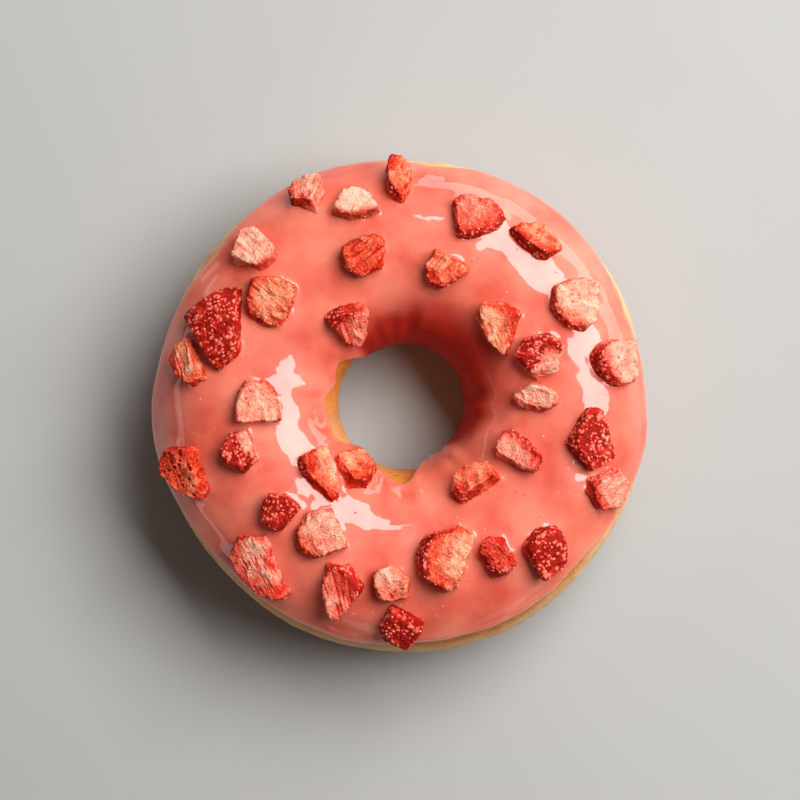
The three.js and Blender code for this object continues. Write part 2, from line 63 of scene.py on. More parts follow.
# The pieces of strawberry, as in the solids: middle in plan, height, the knife's cuts as turn and distance,
# and the turn and lift that the berry's skin faces. Last come the looks: how deep the skin's red goes on top
# and on the sides, how pale the flesh is (0 to 1) and from what depth, the furrows' turn and depth, and the
# depth of its pits.
SKIN_BEND = 11.0
SKIN_SHARE = 0.9
CHAMFERS = 3
CHAMFER_SHARE = 0.86
CHAMFER_LIFT = 15.0
CHAMFER_LIFT_RANGE = 40.0
MIDDLE_SHARE = 0.42
SIDE_DRAFT = 4.0
TOP_LEAN = 14.0
PIECES = (
    ((-18.0, 40.9), 2.8, ((105, 2.9), (23, 3.5), (-24, 3.0), (-118, 3.1), (-175, 3.6)),
     (205, 15), (0.2, 0.6, 0.9, 2.6, 60, 0.06, 0.03)),
    ((-0.6, 43.5), 3.6, ((90, 4.2), (40, 3.1), (-2, 2.3), (-38, 3.4), (-113, 4.2), (-172, 2.4)),
     (185, 5), (0.1, 0.9, 0.7, 2.6, 80, 0, 0.1)),
    ((-9.0, 38.3), 2.5, ((155, 3.5), (94, 3.2), (30, 3.5), (-73, 3.0), (-100, 2.9)),
     (268, 5), (-0.3, -0.9, 1, 1.4, 20, 0.02, 0.03)),
    ((14.1, 36.1), 2.8, ((135, 5.0), (80, 3.6), (45, 4.3), (-26, 5.1), (-65, 3.8), (-168, 4.1)),
     (290, 5), (0.9, 1, 0.62, 3.6, 150, 0.03, 0.03)),
    ((25.5, 31.8), 2.5, ((115, 4.2), (92, 3.1), (43, 3.3), (-50, 4.4), (-129, 2.7), (-169, 4.8)),
     (235, 8), (0, 0.3, 0.64, 3, 0, 0, 0.22)),
    ((-28.1, 29.7), 2.8, ((103, 4.4), (43, 3.1), (-29, 4.3), (-66, 4.0), (-112, 3.3), (162, 3.7)),
     (290, -15), (-0.2, -0.4, 0.92, 2.2, -45, 0.08, 0.02)),
    ((-7.2, 28.7), 3.2, ((115, 3.1), (59, 4.4), (-4, 3.7), (-70, 3.8), (-128, 4.1), (180, 4.2)),
     (250, 20), (0.2, 0.7, 0.56, 4, 35, 0.2, 0.05)),
    ((8.0, 25.9), 3.2, ((145, 3.5), (65, 2.7), (-11, 4.5), (-57, 2.9), (-116, 3.9), (-172, 3.4)),
     (250, 25), (0.4, 1, 0.82, 4.2, 50, 0.08, 0.05)),
    ((-25.0, 20.1), 3.0, ((100, 4.5), (65, 4.5), (-22, 4.2), (-78, 5.1), (-125, 4.7), (170, 4.4)),
     (190, 5), (0.1, 0.2, 0.82, 3, -40, 0.14, 0.03)),
    ((-35.0, 15.7), 3.8, ((125, 5.5), (100, 6.3), (-2, 4.0), (-51, 6.7), (-147, 4.8)),
     (100, 80), (9, 9, 0.3, 9, 0, 0, 0)),
    ((33.1, 19.5), 2.6, ((110, 4.6), (55, 5.0), (8, 4.5), (-45, 5.0), (-100, 4.9), (-141, 4.5), (175, 4.8)),
     (235, 5), (0, 0.3, 0.88, 3, 100, 0.02, 0.06)),
    ((18.5, 15.3), 3.4, ((148, 5.0), (88, 4.1), (60, 4.0), (-16, 3.2), (-108, 5.0), (-143, 3.1)),
     (20, 20), (0.1, 0.3, 0.9, 3.4, -65, 0.14, 0.03)),
    ((-9.8, 15.7), 3.4, ((128, 3.8), (100, 3.3), (60, 4.2), (-6, 3.1), (-85, 5.1), (-143, 3.0)),
     (160, 30), (1.4, 1.5, 0.78, 4.4, -70, 0.1, 0.05)),
    ((26.0, 9.6), 3.8, ((150, 4.1), (102, 3.7), (50, 4.4), (-15, 4.1), (-65, 4.0), (-137, 3.6)),
     (135, 45), (2.6, 3, 1, 4.4, 30, 0.05, 0.03)),
    ((40.9, 8.3), 2.5, ((137, 4.7), (95, 4.2), (2, 4.8), (-73, 4.4), (-124, 4.2), (-170, 5.2)),
     (205, 8), (0.5, 0.9, 0.88, 3.6, 0, 0.02, 0.15)),
    ((-41.0, 8.3), 2.7, ((118, 3.8), (25, 2.5), (-60, 4.5), (-131, 2.9), (-178, 3.9)),
     (215, 12), (-0.1, -0.3, 0.95, 2.6, -70, 0.14, 0.03)),
    ((-27.4, 0.7), 2.7, ((138, 4.5), (92, 4.2), (15, 3.9), (-88, 3.7), (178, 4.0)),
     (25, -5), (-0.2, -0.5, 0.74, 2, 150, 0.05, 0.05)),
    ((25.2, 1.7), 2.8, ((155, 4.0), (112, 2.4), (65, 2.6), (5, 4.3), (-60, 3.3), (-100, 2.3), (-140, 3.8)),
     (260, -5), (-0.1, -0.3, 0.98, 2, -20, 0.1, 0.03)),
    ((36.0, -6.6), 3.6, ((148, 3.9), (90, 6.1), (15, 3.4), (-60, 4.8), (-140, 3.9)),
     (200, 62), (2.4, 3.8, 0.95, 1.0, 0, 0, 0.05)),
    ((-30.7, -8.3), 3.4, ((150, 3.2), (100, 3.5), (70, 4.0), (18, 2.8), (-50, 3.7), (-119, 3.6),
                          (-162, 3.5)),
     (205, 38), (2.8, 3.2, 0.96, 4.6, 0, 0.05, 0.03)),
    ((22.3, -8.4), 3.0, ((155, 4.4), (95, 4.1), (46, 2.7), (-20, 4.4), (-70, 4.7), (-118, 2.8)),
     (45, 5), (0.2, 0.2, 0.86, 3, 60, 0.05, 0.06)),
    ((-15.4, -12.7), 2.8, ((120, 4.5), (20, 2.3), (-47, 6.2), (-132, 2.4), (175, 4.4)),
     (215, 8), (0, 0.2, 0.94, 4.4, -45, 0.03, 0.04)),
    ((-8.6, -11.8), 2.9, ((120, 3.5), (44, 3.0), (-20, 3.5), (-82, 3.6), (-145, 3.1)),
     (310, 38), (0.1, 0.2, 0.78, 3.6, 0, 0, 0.15)),
    ((-41.4, -12.2), 3.2, ((142, 5.5), (100, 4.4), (20, 3.4), (-40, 6.2), (-100, 4.5), (-130, 3.6),
                           (-165, 5.4)),
     (120, 60), (-0.4, -0.4, 0.62, 3.4, 0, 0, 0.5)),
    ((13.3, -14.2), 3.2, ((164, 3.6), (100, 3.1), (30, 4.7), (-60, 2.5), (-150, 4.6)),
     (245, 12), (0.3, 1, 0.7, 3.4, 0, 0.03, 0.06)),
    ((39.3, -15.9), 2.4, ((167, 4.3), (107, 3.4), (36, 3.7), (-13, 4.2), (-94, 3.7), (-137, 3.9)),
     (215, 5), (-0.1, -0.3, 0.84, 2.2, 20, 0.04, 0.08)),
    ((-23.6, -19.8), 3.5, ((147, 3.2), (90, 3.1), (50, 3.3), (-40, 3.0), (-115, 3.4), (-178, 3.0)),
     (200, 80), (9, 9, 0.3, 9, 0, 0, 0)),
    ((-15.5, -24.1), 3.2, ((144, 4.1), (95, 4.5), (24, 4.0), (-72, 4.1), (-130, 5.2), (-175, 4.3)),
     (235, 12), (0.6, 1.3, 0.84, 4.4, 30, 0.05, 0.04)),
    ((-27.3, -30.5), 3.1, ((160, 5.9), (100, 5.9), (21, 3.4), (-40, 8.0), (-105, 5.3), (-132, 3.9)),
     (225, 12), (0.2, 0.3, 0.92, 4.2, -52, 0.18, 0.03)),
    ((8.3, -28.5), 4.4, ((148, 5.4), (108, 4.9), (55, 6.4), (-18, 4.0), (-62, 6.1), (-125, 5.5),
                          (-178, 5.5)),
     (165, 35), (0.5, 0.9, 0.98, 4.5, -30, 0.06, 0.06)),
    ((17.8, -28.4), 3.4, ((125, 3.7), (80, 3.4), (25, 2.8), (-40, 3.9), (-80, 4.0), (-145, 2.5), (170, 3.3)),
     (240, 60), (0.3, 0.8, 0.56, 4, -40, 0.08, 0.28)),
    ((27.6, -27.5), 3.6, ((139, 4.0), (95, 4.1), (45, 4.5), (3, 3.8), (-55, 4.2), (-150, 3.6)),
     (90, 80), (9, 9, 0.3, 9, 0, 0, 0)),
    ((-11.6, -34.8), 3.2, ((168, 3.7), (85, 4.7), (34, 4.0), (-38, 3.2), (-115, 5.6), (-167, 3.5)),
     (30, 32), (0.3, 0.3, 0.88, 4.4, -75, 0.14, 0.03)),
    ((-2.2, -33.9), 2.9, ((175, 3.4), (110, 3.6), (55, 3.2), (-10, 3.8), (-88, 2.9), (-155, 3.3)),
     (270, 0), (-0.2, -0.4, 0.8, 4.6, 45, 0, 0.16)),
    ((-0.6, -42.0), 3.5, ((150, 3.2), (60, 2.8), (-35, 3.6), (-110, 3.4), (-165, 4.0)),
     (190, 45), (8, 9, 0.35, 9, 0, 0, 0)),
)


def bell(turn, centre, width):
    away = (turn - centre + 180.0) % 360.0 - 180.0
    return np.exp(-((away / width) ** 2))


def waves(terms, turn):
    return sum(depth * np.cos(np.radians(count * (turn - at))) for count, depth, at in terms)


def lobes_at(lobes, turn):
    return sum(lift * bell(turn, at, width) for at, width, lift in lobes)


def smooth_step(value, low, high):
    share = np.clip((value - low) / (high - low), 0.0, 1.0)
    return share * share * (3.0 - 2.0 * share)


def noise_at(points, size, shift=0.0):
    """Smooth noise of about -1 to 1 whose bumps are about size across."""
    scaled = points.reshape(-1, 3) / size + shift
    return np.array([noise.noise(p) for p in scaled.tolist()]).reshape(points.shape[:-1])


def layered(points, layers, shift=0.0):
    return sum(height * noise_at(points, size, shift + own) for height, size, own in layers)


def tube_at(turn):
    """The tube's middle, half width and rise at a turn of the ring."""
    outer = OUTER_RADIUS + waves(OUTLINE_WAVES, turn)
    hole = HOLE_RADIUS + HOLE_SHIFT * np.cos(np.radians(turn - HOLE_SHIFT_TURN))
    return (outer + hole) / 2, (outer - hole) / 2, RISE + waves(HEIGHT_WAVES, turn)


def dough_reach(turn, round_tube):
    """The dough's distance from the tube's middle: 0 degrees round the tube is outwards, 90 up."""
    _, half_width, rise = tube_at(turn)
    across, up = np.cos(np.radians(round_tube)), np.sin(np.radians(round_tube))
    half = np.where(up > 0, rise, SINK)
    reach = (np.abs(across / half_width) ** FULLNESS + np.abs(up / half) ** FULLNESS) ** (-1 / FULLNESS)
    return np.where(up < 0, np.minimum(reach, MIDDLE_HEIGHT / np.maximum(-up, 1e-6)), reach)


def icing_thickness(round_tube):
    return FLANK + (CROWN - FLANK) * smooth_step(np.sin(np.radians(round_tube)), *CROWN_ENDS)


def seat_reach(turn, round_tube):
    """The icing's surface, or the same surface carried on past its edge."""
    return dough_reach(turn, round_tube) + GAP + icing_thickness(round_tube)


def ring_points(turn, round_tube, reach):
    out = tube_at(turn)[0] + reach * np.cos(np.radians(round_tube))
    x = RING_CENTRE[0] + out * np.cos(np.radians(turn))
    y = RING_CENTRE[1] + out * np.sin(np.radians(turn))
    return np.stack([x, y, MIDDLE_HEIGHT + reach * np.sin(np.radians(round_tube))], axis=-1)


def ring_places(points):
    """The turn, the angle round the tube and the distance from the tube's middle of points."""
    x, y = points[..., 0] - RING_CENTRE[0], points[..., 1] - RING_CENTRE[1]
    turn = np.degrees(np.arctan2(y, x))
    across = np.hypot(x, y) - tube_at(turn)[0]
    up = points[..., 2] - MIDDLE_HEIGHT
    return turn, np.degrees(np.arctan2(up, across)), np.hypot(across, up)


# Meshes


def mesh_object(name, points, faces, smooth=True):
    mesh = bpy.data.meshes.new(name)
    mesh.from_pydata((points * MM).tolist(), [], faces.tolist())
    mesh.polygons.foreach_set("use_smooth", [smooth] * len(mesh.polygons))
    mesh.update()
    piece = bpy.data.objects.new(name, mesh)
    bpy.context.scene.collection.objects.link(piece)
    return piece


def ring_faces(rows, columns):
    """The quads of a grid that closes on itself both ways."""
    row, column = np.meshgrid(np.arange(rows), np.arange(columns), indexing="ij")
    next_row, next_column = (row + 1) % rows, (column + 1) % columns
    corners = [(row, column), (row, next_column), (next_row, next_column), (next_row, column)]
    return np.stack([r * columns + c for r, c in corners], axis=-1).reshape(-1, 4)


def set_values(piece, name, values):
    attribute = piece.data.attributes.new(name, "FLOAT", "POINT")
    attribute.data.foreach_set("value", np.ascontiguousarray(values, dtype=np.float32).ravel())


def ball(cuts):
    """An even ball of triangles of radius 1, as directions and faces."""
    shape = bmesh.new()
    bmesh.ops.create_icosphere(shape, subdivisions=1, radius=1.0)
    if cuts:
        bmesh.ops.subdivide_edges(shape, edges=shape.edges[:], cuts=cuts, use_grid_fill=True)
    bmesh.ops.triangulate(shape, faces=shape.faces[:])
    shape.verts.index_update()
    ways = np.array([v.co[:] for v in shape.verts])
    faces = np.array([[v.index for v in f.verts] for f in shape.faces])
    shape.free()
    return ways / np.linalg.norm(ways, axis=1, keepdims=True), faces


# The dough. Its pale belt runs between two levels, in degrees round the tube, which wander. The golden lobes
# take from the belt, and the hole's lobes pale the crust in the hole.

DOUGH_TURNS = 480
DOUGH_ROUNDS = 150
CRUST_RELIEF = ((0.3, 13.0, 7.3), (0.12, 2.2, 3.1), (0.07, 0.9, 5.9))
OFF_FLOOR_ENDS = (0.2, 3.0)
OUTWARDS_ENDS = (-0.7, 0.1)
IN_HOLE_ENDS = (0.7, 0.95)
BELT_LOW = -9.0
BELT_HIGH = 23.0
BELT_LOW_WANDER = 7.0
BELT_HIGH_WANDER = 6.0
BELT_WANDER_SIZE = 9.0
BELT_LOW_ENDS = (-5.0, 5.0)
BELT_HIGH_ENDS = (-5.0, 7.0)
BELT_CREASE = 0.35
BELT_CREASE_WIDTH = 3.5
BELT_GOLDEN_LOBES = ((238, 42, 0.45),)
HOLE_BELT_LOBES = ((222, 37, 0.65),)
LOW_CRUST_ENDS = (5.0, 45.0)


def make_dough():
    turn, round_tube = np.meshgrid(
        np.arange(DOUGH_TURNS) * 360.0 / DOUGH_TURNS,
        np.arange(DOUGH_ROUNDS) * 360.0 / DOUGH_ROUNDS,
    )
    reach = dough_reach(turn, round_tube)
    base = ring_points(turn, round_tube, reach)
    level = np.degrees(np.arcsin(np.sin(np.radians(round_tube))))
    across = np.cos(np.radians(round_tube))
    wander = noise_at(base, BELT_WANDER_SIZE)
    over_low = level - BELT_LOW - BELT_LOW_WANDER * wander
    over_high = level - BELT_HIGH - BELT_HIGH_WANDER * wander
    belt = smooth_step(over_low, *BELT_LOW_ENDS) * (1 - smooth_step(over_high, *BELT_HIGH_ENDS))
    belt *= smooth_step(across, *OUTWARDS_ENDS) * (1 - lobes_at(BELT_GOLDEN_LOBES, turn))
    belt += lobes_at(HOLE_BELT_LOBES, turn) * smooth_step(-across, *IN_HOLE_ENDS)
    crease = BELT_CREASE * np.exp(-((over_low / BELT_CREASE_WIDTH) ** 2))
    off_floor = smooth_step(base[..., 2], *OFF_FLOOR_ENDS)
    reach = reach + off_floor * (layered(base, CRUST_RELIEF) - crease)
    points = ring_points(turn, round_tube, reach).reshape(-1, 3)
    piece = mesh_object("crust", points, ring_faces(DOUGH_ROUNDS, DOUGH_TURNS))
    set_values(piece, "belt", belt)
    set_values(piece, "low", smooth_step(-level, *LOW_CRUST_ENDS))
    return piece


# The icing

ICING_TURNS = 640
ICING_ROUNDS = 140
ICING_UNDER_ROUNDS = 10
EDGE_CROWDING = 0.25
EDGE_WANDER = 1.6
EDGE_NOISE = ((1.0, 7.0, 0.0), (0.5, 2.6, 0.0))
OUTER_EDGE_SHIFT = 1.7
INNER_EDGE_SHIFT = 9.4
EDGE_BITE = 0.15
LIP_WIDTH = 1.3
BEAD = 0.2
BEAD_FROM_EDGE = 1.5
SWELLS = ((0.2, 8.0, 2.2), (0.05, 3.0, 8.8), (0.012, 1.3, 6.1))
INLAND_ENDS = (0.0, 4.0)
STREAKS = 0.1
STREAK_LENGTH = 13.0
STREAK_WIDTH = 2.4
STREAK_SHIFT = 5.5
STREAKS_BEGIN_ENDS = (1.0, 3.0)
STREAKS_STOP_ENDS = (6.0, 12.0)
RUNS = 0.7
RUN_WIDTH = 2.2
RUN_ROUND = 45.0
RUN_SHIFT = 2.5
RUN_ENDS = (118.0, 143.0)
CLIMB = 0.3
CLIMB_REACH = 0.45
CLIMB_LIMIT = 1.6
CLIMB_PATCHES = (2.5, 4.4)
CLIMB_ENDS = (-0.5, 0.6)

# Where the icing pools dark red in the hole, in degrees round the tube, and how near its edge it is thin,
# in millimetres. The pooled dark red is partly thick icing and partly painted shade, darkest on the hole's
# wall that faces away from the softbox.
POOL_SHADE_LOBES = ((50, 45, 13), (303, 24, -60), (338, 14, -9))
POOL_SHADE_NOISE = ((8.0, 6.0, 3.3),)
POOL_SHADE_ENDS = (119.0, 149.0)
POOL_SHADE_EDGE_ENDS = (158.0, 180.0)
THIN_NOISE = ((0.8, 3.0, 7.7),)
THIN_ENDS = (0.4, 2.4)


def edge_wander(turn, shift):
    """How far the icing's edge strays, in degrees round the tube."""
    around = np.stack([np.cos(np.radians(turn)), np.sin(np.radians(turn)), 0 * turn], axis=-1) * OUTER_RADIUS
    return EDGE_WANDER * layered(around, EDGE_NOISE, shift)


def icing_edges(turn):
    """The icing's outer edge and its edge in the hole, in degrees round the tube."""
    outside = OUTER_EDGE + lobes_at(OUTER_LOBES, turn) + edge_wander(turn, OUTER_EDGE_SHIFT)
    in_hole = 180.0 - INNER_EDGE - lobes_at(INNER_LOBES, turn) + edge_wander(turn, INNER_EDGE_SHIFT)
    return outside, in_hole


def streaks_at(turn, from_rim):
    """Long shallow folds that the icing set in as it ran down towards its rim."""
    around = np.radians(turn)
    laid = [np.cos(around) * OUTER_RADIUS / STREAK_LENGTH, np.sin(around) * OUTER_RADIUS / STREAK_LENGTH]
    folds = noise_at(np.stack([*laid, from_rim / STREAK_WIDTH], axis=-1), 1.0, STREAK_SHIFT)
    near_rim = smooth_step(from_rim, *STREAKS_BEGIN_ENDS) * (1 - smooth_step(from_rim, *STREAKS_STOP_ENDS))
    return folds * near_rim


def runs_at(turn, round_tube):
    """Upright ripples that the icing set in as it ran down into the hole."""
    around = np.radians(turn)
    laid = [np.cos(around) * HOLE_RADIUS / RUN_WIDTH, np.sin(around) * HOLE_RADIUS / RUN_WIDTH]
    ripples = noise_at(np.stack([*laid, round_tube / RUN_ROUND], axis=-1), 1.0, RUN_SHIFT)
    return ripples * smooth_step(round_tube, *RUN_ENDS)


def climb_round(base, fruit):
    """How far the icing rises where it clings to pieces of fruit."""
    climb = np.zeros(base.shape[:-1])
    for place in np.ndindex(climb.shape):
        distance = fruit.find_nearest(base[place].tolist(), CLIMB_LIMIT)[3]
        if distance is not None:
            climb[place] = CLIMB * np.exp(-distance / CLIMB_REACH)
    return climb * smooth_step(noise_at(base, *CLIMB_PATCHES), *CLIMB_ENDS)


def icing_underside(turns, outside, in_hole):
    """The hidden rows of the coat, from its edge in the hole back to its outer edge."""
    back = np.linspace(1.0, 0.0, ICING_UNDER_ROUNDS)[:, None]
    turn = np.broadcast_to(turns, (ICING_UNDER_ROUNDS, ICING_TURNS))
    round_tube = outside + (in_hole - outside) * back
    return ring_points(turn, round_tube, dough_reach(turn, round_tube) - 2 * EDGE_BITE)


def icing_height(base, turn, round_tube, from_edge, from_rim, lip):
    """The coat's height over the dough, with its rim, its swells, its streaks and its runs."""
    bead = BEAD * np.exp(-(((from_edge - BEAD_FROM_EDGE) / BEAD_FROM_EDGE) ** 2))
    inland = smooth_step(from_edge, *INLAND_ENDS)
    swell = inland * layered(base, SWELLS) + STREAKS * streaks_at(turn, from_rim)
    swell += RUNS * runs_at(turn, round_tube) * inland
    return (GAP + icing_thickness(round_tube) + bead + EDGE_BITE) * lip + swell - EDGE_BITE


def make_icing(fruit):
    turns = np.arange(ICING_TURNS) * 360.0 / ICING_TURNS
    outside, in_hole = icing_edges(turns)
    steps = np.linspace(0.0, 1.0, ICING_ROUNDS)
    share = ((1 - EDGE_CROWDING) * steps + EDGE_CROWDING * smooth_step(steps, 0.0, 1.0))[:, None]
    turn = np.broadcast_to(turns, (ICING_ROUNDS, ICING_TURNS))
    round_tube = outside + (in_hole - outside) * share
    reach = dough_reach(turn, round_tube)
    base = ring_points(turn, round_tube, seat_reach(turn, round_tube))
    from_edge = np.radians(np.minimum(round_tube - outside, in_hole - round_tube)) * reach
    from_rim = np.radians(round_tube - outside) * reach
    lip = np.sqrt(1.0 - (1.0 - np.clip(from_edge / LIP_WIDTH, 0.0, 1.0)) ** 2)
    height = icing_height(base, turn, round_tube, from_edge, from_rim, lip)
    top = ring_points(turn, round_tube, reach + height + climb_round(base, fruit) * lip)
    under = icing_underside(turns, outside, in_hole)
    points = np.concatenate([top, under]).reshape(-1, 3)
    piece = mesh_object("icing_coat", points, ring_faces(ICING_ROUNDS + ICING_UNDER_ROUNDS, ICING_TURNS))
    # The pool is partly thick icing in the hole and partly painted shade, strongest on the wall facing away
    # from the softbox.
    pooled_shade_round = round_tube + lobes_at(POOL_SHADE_LOBES, turn) + layered(base, POOL_SHADE_NOISE)
    pool_and_shade = smooth_step(pooled_shade_round, *POOL_SHADE_ENDS) * smooth_step(in_hole, *POOL_SHADE_EDGE_ENDS)
    thin = 1 - smooth_step(from_edge + layered(base, THIN_NOISE), *THIN_ENDS)
    set_values(piece, "pool_and_shade", np.concatenate([pool_and_shade, np.zeros(under.shape[:-1])]))
    set_values(piece, "thin", np.concatenate([thin, np.ones(under.shape[:-1])]))
    return piece


# The form of a piece of strawberry, as in the solids, with softened edges

EDGE_POWER = 26.0
EDGE_SHARE = 0.12
SKIN_WAVES = ((0.2, 0.5, 0.0),)
SEAT_HALVINGS = 30
SEAT_STEP = 2.0
SINK_IN = 0.5
SINK_ROUNDS = 6
LEAST_FACING = 1e-3
OUT_OF_REACH = 1e3


def random_from(seed):
    """The same small random number generator as the solids' chamfers come from."""
    state = seed * 2654435761
    while True:
        state = (state + 0x6D2B79F5) & 0xFFFFFFFF
        t = ((state ^ (state >> 15)) * (1 | state)) & 0xFFFFFFFF
        t = ((t + (t ^ (t >> 7)) * (61 | t)) ^ t) & 0xFFFFFFFF
        yield ((t ^ (t >> 14)) & 0xFFFFFFFF) / 4294967296


def facing(turn, lift):
    turn, lift = np.radians(turn), np.radians(lift)
    return np.array([np.cos(turn) * np.cos(lift), np.sin(turn) * np.cos(lift), np.sin(lift)])


def cut_reaches(cuts, ways):
    """How far each flat cut lets a piece reach in each direction."""
    normals, distances = np.array([c[0] for c in cuts]), np.array([c[1] for c in cuts])
    along = ways @ normals.T
    reaches = distances / np.maximum(along, LEAST_FACING)
    return np.where(along > LEAST_FACING, reaches, OUT_OF_REACH)


def support_of(cuts, way, ways):
    return np.max((ways @ way) * cut_reaches(cuts, ways).min(axis=1))


def cuts_of(high, sides, draw, ways):
    """A piece's flat cuts: its sides, its top, its underside and its chamfers."""
    cuts = [(facing(turn, SIDE_DRAFT), distance) for turn, distance in sides]
    top_turn, top_lean = 360 * next(draw), TOP_LEAN * next(draw)
    cuts.append((facing(top_turn, 90 - top_lean), high * (1 - MIDDLE_SHARE)))
    cuts.append((facing(0, -90), high))
    for _ in range(CHAMFERS):
        way = facing(360 * next(draw), CHAMFER_LIFT + CHAMFER_LIFT_RANGE * next(draw))
        cuts.append((way, CHAMFER_SHARE * support_of(cuts, way, ways)))
    return cuts


def seat_of(at, middle_height):
    """The place on the icing over which a piece's middle is in plan."""
    turn = np.degrees(np.arctan2(at[1], at[0]))
    low, high = 0.0, 180.0
    for _ in range(SEAT_HALVINGS):
        half = (low + high) / 2
        across = (seat_reach(turn, half) + middle_height) * np.cos(np.radians(half))
        low, high = (half, high) if tube_at(turn)[0] + across > np.hypot(*at) else (low, half)
    return turn, low


def seat_point(turn, round_tube):
    return ring_points(turn, round_tube, seat_reach(turn, round_tube))


def seat_axes(turn, round_tube):
    """Plan's +X and +Y laid on the icing, and the way out of it, as rows."""
    along = seat_point(turn + SEAT_STEP, round_tube) - seat_point(turn - SEAT_STEP, round_tube)
    across = seat_point(turn, round_tube + SEAT_STEP) - seat_point(turn, round_tube - SEAT_STEP)
    up = np.cross(along, across)
    up /= np.linalg.norm(up)
    east = np.array([1.0, 0.0, 0.0]) - up[0] * up
    east /= np.linalg.norm(east)
    return np.stack([east, np.cross(up, east), up])


def raise_to_seat(points, up):
    """The points, raised where they would lie deeper in the icing than a piece sinks."""
    for _ in range(SINK_ROUNDS):
        turn, round_tube, reach = ring_places(points)
        sunk = seat_reach(turn, round_tube) - SINK_IN - reach
        points = points + np.maximum(sunk, 0.0)[:, None] * up
    return points


class Fruit:
    """A piece of strawberry in its own axes, from its middle."""

    def __init__(self, index, row, ways):
        (at, high, sides, skin, look) = row
        self.index = index
        (self.cover, self.side_cover, self.pale, self.fade) = look[:4]
        (self.furrow_turn, self.furrows, self.pits) = look[4:]
        self.cuts = cuts_of(high, sides, random_from(index + 1), ways)
        skin_way = facing(*skin)
        self.skin_centre = (SKIN_SHARE * support_of(self.cuts, skin_way, ways) - SKIN_BEND) * skin_way
        self.size = np.mean([distance for _, distance in sides])
        middle_height = high * MIDDLE_SHARE
        turn, round_tube = seat_of(at, middle_height)
        self.axes = seat_axes(turn, round_tube)
        self.middle = ring_points(turn, round_tube, seat_reach(turn, round_tube) + middle_height)
        self.seeds = np.zeros((0, 3))
        self.seed_ways = np.zeros((0, 3))

    def to_place(self, points):
        return self.middle + points @ self.axes

    def rough_form(self, ways, shift):
        """The piece with softened edges, and how near each point is to an edge, from 0 to 1."""
        along = ways @ self.skin_centre
        bend = SKIN_BEND + layered(ways, SKIN_WAVES, shift)
        inside = along**2 - self.skin_centre @ self.skin_centre + bend**2
        reaches = np.column_stack([cut_reaches(self.cuts, ways), along + np.sqrt(np.maximum(inside, 0.0))])
        reach = (reaches**-EDGE_POWER).sum(axis=1) ** (-1 / EDGE_POWER)
        first, second = np.partition(reaches, 1, axis=1)[:, :2].T
        return ways * reach[:, None], np.exp(-(second / first - 1) / EDGE_SHARE)


# The surface of a piece of strawberry: cut flesh with grains, folds, fibres, veins, pores and torn edges,
# and skin with small round bumps, and dimples where its seeds are. The first ball's edge is in radii.

VERTEX_SPACING = 0.18
FIRST_BALL_EDGE = 1.05
TOP_SHARE = 0.35
SHIFT_STEP = 11.3
UPWARD_ENDS = (0.35, 0.8)
RAGGED = ((0.45, 0.7, 0.0), (0.5, 2.4, 0.0))
RAGGED_LEAST = 0.6
RAGGED_BY_COVER = 0.3
SKIN_ENDS = (-0.2, 0.2)
GRAIN = (0.4, 0.0)
LUMPS = ((1.0, 2.6, 0.0), (0.5, 1.2, 0.0))
FOLDS = (2.7, 8.0)
FOLD_SHARPNESS = 2.4
TEARS = (0.85, 3.0)
VEINS = (1.7, 6.0)
VEIN_WIDTH = 0.07
GRAINS = (0.62, 0.0)
CREVICE_ENDS = (0.0, 0.4)
CELL_BEND = 0.35
BUMPS = (0.76, 5.0)
BUMP_ENDS = (0.05, 0.6)
PORES = (1.25, 9.0)
PORE_CORE = 0.1
PORE_WIDTH = 0.26
PORE_WIDTH_BY_PITS = 0.4
PORE_PATCHES = (2.0, 4.0)
PORE_PATCH_ENDS = (-0.2, 0.3)
MORE_PORES_BY_PITS = 3.0
FIBRE_WIDTH = 0.42
FIBRE_LENGTH = 3.5
FIBRE_HEIGHT = 1.5
FIBRE_NOISE = ((1.0, 1.0, 0.0), (0.3, 0.5, 0.0))
FIBRE_ENDS = (0.05, 0.45)

PALE_BY_SKIN = 0.38
PALE_FROM = 0.1
PALE_BY_LUMPS = 0.8
WALL_RED = 0.2
VEIN_RED = 0.16
FOLD_PALE = 0.16
EDGE_PALE = 0.12
CRUMBLY_LEAST = 0.25
CRUMBLY_BY_WALL = 0.5
CRUMBLY_BY_RED = 0.9
CRUMBLY_RED_FROM = 0.7
CRUMBLY_LIMITS = (0.15, 1.0)
CRUMBLY_PATCHES = (1.8, 2.0)
CRUMBLY_ENDS = (-0.6, 0.3)
# Painted shade in the flesh's hollows: how deep a furrow is fully shaded, and how dark its pores are
# painted.
DEEP_FURROW = 0.15
PORE_SHADE = 0.5
PORE_SHADE_BY_PITS = 3.0
# The pale tips of the skin's bumps, partly frost and partly painted highlights: least share, patches, edges.
FROST_AND_HIGHLIGHT_LEAST = 0.25
FROST_AND_HIGHLIGHT_PATCHES = (2.8, 1.0)
FROST_AND_HIGHLIGHT_BY_EDGE = 0.5
FROST_AND_HIGHLIGHT_ENDS = (-0.25, 0.1)

FLESH_LUMP_HEIGHT = 0.32
FLATTER_ON_TOP = 0.16
FLESH_GRAIN_HEIGHT = 0.06
CREVICE_DEPTH = 0.2
VEIN_DEPTH = 0.04
FOLD_HEIGHT = 0.34
TORN_HEIGHT = 0.3
PORE_DEPTH = 0.1
SKIN_BUMP_HEIGHT = 0.24
SKIN_LUMP_HEIGHT = 0.16
SKIN_GRAIN_HEIGHT = 0.03
DIMPLE_DEPTH = 0.12
DIMPLE_WIDTH = 0.35
SEED_SPACING = 2.5
SEEDS_ON_SKIN = 0.8
SEEDS_ABOVE = -1.2


